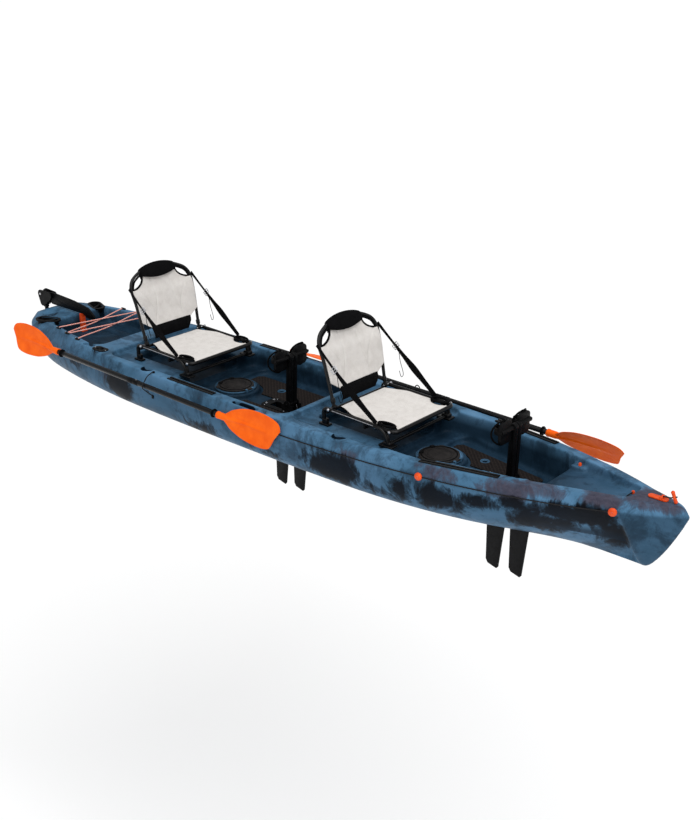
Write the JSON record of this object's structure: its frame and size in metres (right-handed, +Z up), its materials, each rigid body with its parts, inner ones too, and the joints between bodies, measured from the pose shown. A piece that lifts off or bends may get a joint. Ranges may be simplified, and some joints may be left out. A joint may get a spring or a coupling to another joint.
{
  "type": "tandem pedal fishing kayak",
  "caption": "Sit-on-top tandem kayak with framed seats, fin pedal drives, a flip-up rudder, hatches, gear tracks and stowed paddles.",
  "frame": {"origin": "amidships on the keel line, where a cradle holds the hull", "axes": "+X towards the bow, +Y to port, +Z up"},
  "size_m": [4.672, 1.0158, 1.1237],
  "materials": {
    "black_alloy": "black anodised",
    "black_cord": "woven",
    "black_plastic": "satin",
    "black_rubber": "matt",
    "black_shaft": "black anodised",
    "black_tube": "satin powder coat",
    "black_webbing": "woven webbing",
    "brown_foam": "textured foam",
    "brown_plastic": "matt",
    "camo_shell": "satin moulded camouflage",
    "cream_fabric": "woven mesh",
    "fleck_cord": "woven bungee",
    "orange_blade": "satin",
    "orange_plastic": "satin",
    "orange_rubber": "matt",
    "steel": "brushed"
  },
  "bodies": {
    "boat": {"hull_stern": "camo_shell", "hull_rear": "camo_shell", "hull_front": "camo_shell", "hull_bow": "camo_shell", "hatch_rings": "black_plastic", "deck_pads": "brown_foam", "gear_tracks": "black_alloy", "rod_holders": "black_plastic", "stern_handles": "black_plastic", "deck_fittings": "orange_plastic", "deck_line": "black_cord", "stern_bungee": "fleck_cord", "bungee_anchors": "black_plastic", "bow_toggle": "orange_plastic", "bow_toggle_cord": "black_cord", "paddle_bungees": "black_cord", "paddle_hooks": "black_plastic", "rudder_bracket": "black_plastic", "rudder_pin": "steel", "rudder_chock": "orange_rubber", "seat_rear_frame": "black_tube", "seat_rear_pan": "cream_fabric", "seat_rear_straps": "black_webbing", "seat_rear_hardware": "steel", "seat_front_frame": "black_tube", "seat_front_pan": "cream_fabric", "seat_front_straps": "black_webbing", "seat_front_hardware": "steel", "drive_rear_base": "black_plastic", "drive_rear_clamps": "steel", "drive_front_base": "black_plastic", "drive_front_clamps": "steel"},
    "crank_rear_starboard": {"drive_rear_arm_starboard": "black_plastic"},
    "pedal_rear_starboard": {"drive_rear_pedal_starboard": "black_plastic"},
    "crank_rear_port": {"drive_rear_arm_port": "black_plastic"},
    "pedal_rear_port": {"drive_rear_pedal_port": "black_plastic"},
    "fin_rear_fore": {"drive_rear_fin_fore": "black_plastic"},
    "fin_rear_aft": {"drive_rear_fin_aft": "black_plastic"},
    "crank_front_starboard": {"drive_front_arm_starboard": "black_plastic"},
    "pedal_front_starboard": {"drive_front_pedal_starboard": "black_plastic"},
    "crank_front_port": {"drive_front_arm_port": "black_plastic"},
    "pedal_front_port": {"drive_front_pedal_port": "black_plastic"},
    "fin_front_fore": {"drive_front_fin_fore": "black_plastic"},
    "fin_front_aft": {"drive_front_fin_aft": "black_plastic"},
    "seat_back_rear": {"seat_rear_back_frame": "black_tube", "seat_rear_back_panel": "cream_fabric", "seat_rear_head_pad": "black_webbing"},
    "hatch_lid_rear": {"hatch_lid_rear": "brown_plastic"},
    "seat_back_front": {"seat_front_back_frame": "black_tube", "seat_front_back_panel": "cream_fabric", "seat_front_head_pad": "black_webbing"},
    "hatch_lid_front": {"hatch_lid_front": "brown_plastic"},
    "rudder_head": {"rudder_head": "black_plastic"},
    "rudder_blade": {"rudder_blade": "black_plastic"},
    "paddle_starboard": {"paddle_starboard_shaft": "black_shaft", "paddle_starboard_blades": "orange_blade", "paddle_starboard_rings": "black_rubber"},
    "paddle_port": {"paddle_port_shaft": "black_shaft", "paddle_port_blades": "orange_blade", "paddle_port_rings": "black_rubber"}
  },
  "joints": [
    {"name": "crank_rear_starboard", "type": "hinge", "parent": "boat", "child": "crank_rear_starboard", "pos_m": [-0.06, 0, 0.205], "axis": [0, 1, 0], "range_deg": [-22, 22]},
    {"name": "pedal_rear_starboard", "type": "hinge", "parent": "crank_rear_starboard", "child": "pedal_rear_starboard", "pos_m": [-0.05023, 0, 0.48483], "axis": [0, 1, 0], "range_deg": [-35, 35]},
    {"name": "crank_rear_port", "type": "hinge", "parent": "boat", "child": "crank_rear_port", "pos_m": [-0.06, 0, 0.205], "axis": [0, 1, 0], "range_deg": [-22, 22]},
    {"name": "pedal_rear_port", "type": "hinge", "parent": "crank_rear_port", "child": "pedal_rear_port", "pos_m": [-0.05023, 0, 0.48483], "axis": [0, 1, 0], "range_deg": [-35, 35]},
    {"name": "fin_rear_fore", "type": "hinge", "parent": "boat", "child": "fin_rear_fore", "pos_m": [-0.06, 0, 0.018], "axis": [1, 0, 0], "range_deg": [-49, 49]},
    {"name": "fin_rear_aft", "type": "hinge", "parent": "boat", "child": "fin_rear_aft", "pos_m": [-0.06, 0, 0.018], "axis": [1, 0, 0], "range_deg": [-49, 49]},
    {"name": "crank_front_starboard", "type": "hinge", "parent": "boat", "child": "crank_front_starboard", "pos_m": [1.405, 0, 0.205], "axis": [0, 1, 0], "range_deg": [-22, 22]},
    {"name": "pedal_front_starboard", "type": "hinge", "parent": "crank_front_starboard", "child": "pedal_front_starboard", "pos_m": [1.41477, 0, 0.48483], "axis": [0, 1, 0], "range_deg": [-35, 35]},
    {"name": "crank_front_port", "type": "hinge", "parent": "boat", "child": "crank_front_port", "pos_m": [1.405, 0, 0.205], "axis": [0, 1, 0], "range_deg": [-22, 22]},
    {"name": "pedal_front_port", "type": "hinge", "parent": "crank_front_port", "child": "pedal_front_port", "pos_m": [1.41477, 0, 0.48483], "axis": [0, 1, 0], "range_deg": [-35, 35]},
    {"name": "fin_front_fore", "type": "hinge", "parent": "boat", "child": "fin_front_fore", "pos_m": [1.405, 0, 0.018], "axis": [1, 0, 0], "range_deg": [-49, 49]},
    {"name": "fin_front_aft", "type": "hinge", "parent": "boat", "child": "fin_front_aft", "pos_m": [1.405, 0, 0.018], "axis": [1, 0, 0], "range_deg": [-49, 49]},
    {"name": "seat_back_rear", "type": "hinge", "parent": "boat", "child": "seat_back_rear", "pos_m": [-1.031, 0, 0.382], "axis": [0, 1, 0], "range_deg": [-10, 75], "deforming": ["seat_rear_straps"]},
    {"name": "hatch_lid_rear", "type": "hinge", "parent": "boat", "child": "hatch_lid_rear", "pos_m": [-0.391, 0, 0.2025], "axis": [0, 1, 0], "range_deg": [0, 105]},
    {"name": "seat_back_front", "type": "hinge", "parent": "boat", "child": "seat_back_front", "pos_m": [0.444, 0, 0.382], "axis": [0, 1, 0], "range_deg": [-10, 75], "deforming": ["seat_front_straps"]},
    {"name": "hatch_lid_front", "type": "hinge", "parent": "boat", "child": "hatch_lid_front", "pos_m": [1.084, 0, 0.2025], "axis": [0, 1, 0], "range_deg": [0, 105]},
    {"name": "rudder_steer", "type": "hinge", "parent": "boat", "child": "rudder_head", "pos_m": [-2.305, 0, 0.32], "axis": [0, 0, 1], "range_deg": [-25, 25]},
    {"name": "rudder_lift", "type": "hinge", "parent": "rudder_head", "child": "rudder_blade", "pos_m": [-2.327, 0, 0.39], "axis": [0, -1, 0], "range_deg": [0, 250]},
    {"name": "paddle_starboard_lift_off", "type": "slide", "parent": "boat", "child": "paddle_starboard", "axis": [0, -1, 0], "range_m": [0, 0.25], "deforming": ["paddle_bungees"]},
    {"name": "paddle_port_lift_off", "type": "slide", "parent": "boat", "child": "paddle_port", "axis": [0, 1, 0], "range_m": [0, 0.25], "deforming": ["paddle_bungees"]}
  ],
  "couplings": [
    {"joint": "fin_rear_fore", "follows": "crank_rear_starboard", "ratio": 2.2},
    {"joint": "fin_rear_aft", "follows": "crank_rear_starboard", "ratio": -2.2},
    {"joint": "crank_rear_port", "follows": "crank_rear_starboard", "ratio": -1},
    {"joint": "fin_front_fore", "follows": "crank_front_starboard", "ratio": 2.2},
    {"joint": "fin_front_aft", "follows": "crank_front_starboard", "ratio": -2.2},
    {"joint": "crank_front_port", "follows": "crank_front_starboard", "ratio": -1}
  ]
}
